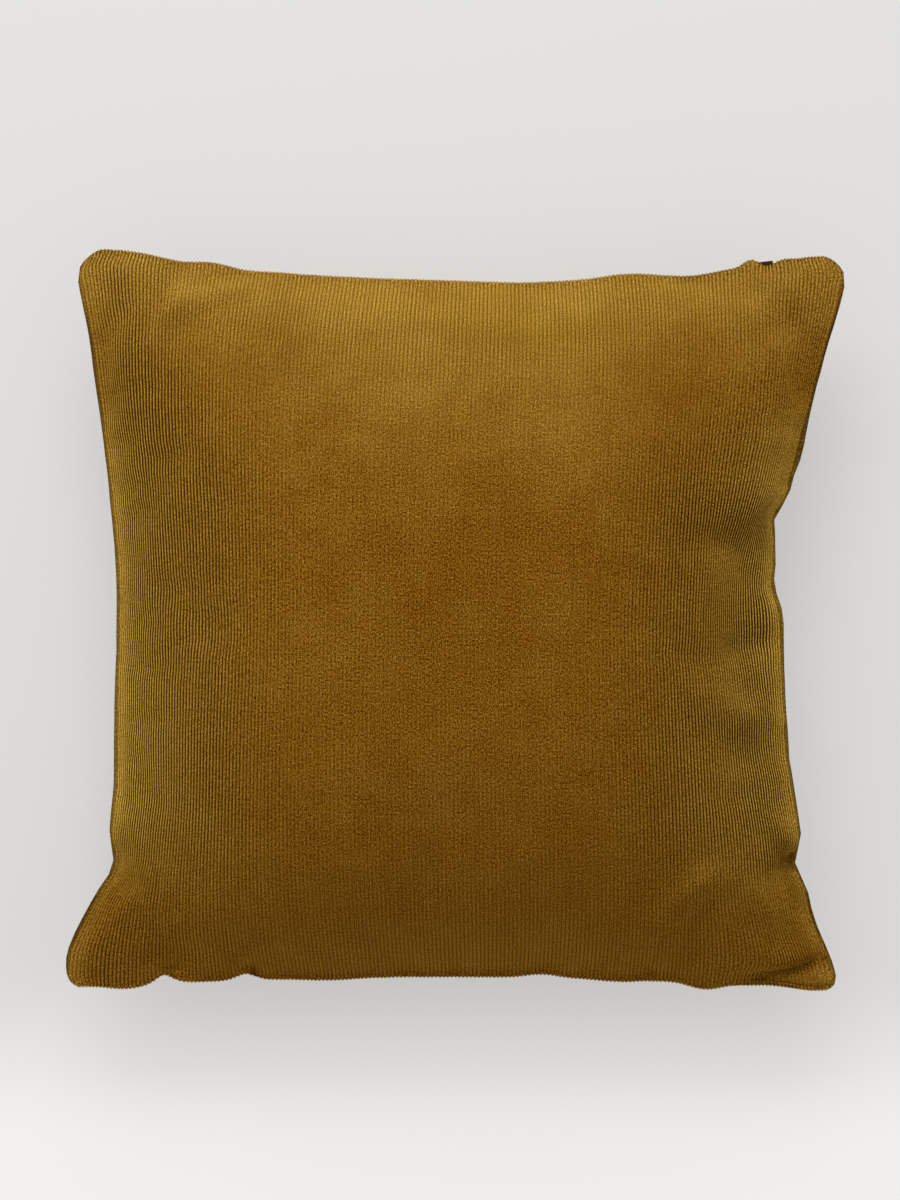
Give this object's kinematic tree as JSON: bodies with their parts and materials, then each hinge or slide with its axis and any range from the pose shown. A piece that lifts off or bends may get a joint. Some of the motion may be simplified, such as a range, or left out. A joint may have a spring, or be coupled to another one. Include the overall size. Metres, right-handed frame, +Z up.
{
  "type": "scatter cushion in a corduroy cover",
  "caption": "Square filled scatter cushion in fine corduroy, wales running bottom to top, knife-edge seam, drawn-in sides, flat ears and a zip tape end in the top seam.",
  "frame": {"origin": "middle of the flat spot that the cushion lies on, under the middle of its outline", "axes": "the cushion lies on its back: +Z up, out of its face; +Y towards its top edge, along the wales; +X towards its right side"},
  "size_m": [0.4529, 0.4312, 0.1428],
  "materials": {
    "corduroy": "fine ribbed cotton pile, matt, with a soft sheen where the nap lies away from the eye",
    "zip_tape": "tight woven tape, dark brown, matt"
  },
  "bodies": {
    "root": {"cushion": "corduroy", "zip_end": "zip_tape"}
  },
  "joints": []
}
